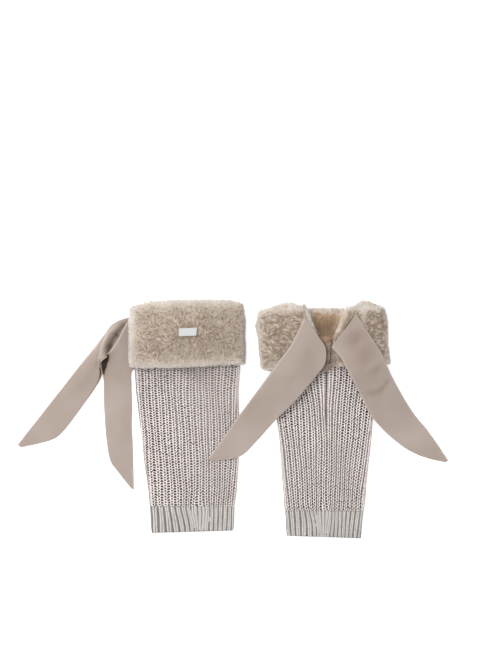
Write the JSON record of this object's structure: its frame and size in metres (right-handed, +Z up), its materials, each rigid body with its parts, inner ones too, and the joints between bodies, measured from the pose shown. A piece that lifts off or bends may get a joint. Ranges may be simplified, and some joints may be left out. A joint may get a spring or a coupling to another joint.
{
  "type": "pair of leg warmers",
  "caption": "Pair of ribbed knit leg warmers laid flat, one face up and one back up, with fur cuffs slit at the back and long ribbon ties.",
  "frame": {"origin": "centre of the pair's footprint, on the surface that the pair lies on", "axes": "+X across the pair towards the leg warmer that lies back up, +Y from the ankles to the cuffs, +Z up from the surface"},
  "size_m": [0.5746, 0.3194, 0.0295],
  "materials": {
    "knit_wool": "half-cardigan rib knit in a matt beige-grey wool blend",
    "rib_wool": "flat ribbed knit in the same yarn, finer and smoother",
    "faux_fur": "short dense plush fur, beige, curly and tufted",
    "ribbon_satin": "matt satin ribbon in pale taupe with a fine cross weave",
    "label_tape": "blank off-white woven label tape"
  },
  "bodies": {
    "root": {"left_leg_knit": "knit_wool", "left_ankle_rib": "rib_wool", "left_cuff_fur": "faux_fur", "left_label": "label_tape", "left_ribbon_outer": "ribbon_satin", "left_ribbon_hanging": "ribbon_satin", "right_leg_knit": "knit_wool", "right_ankle_rib": "rib_wool", "right_cuff_fur": "faux_fur", "right_ribbon_left": "ribbon_satin", "right_ribbon_right": "ribbon_satin"}
  },
  "joints": []
}
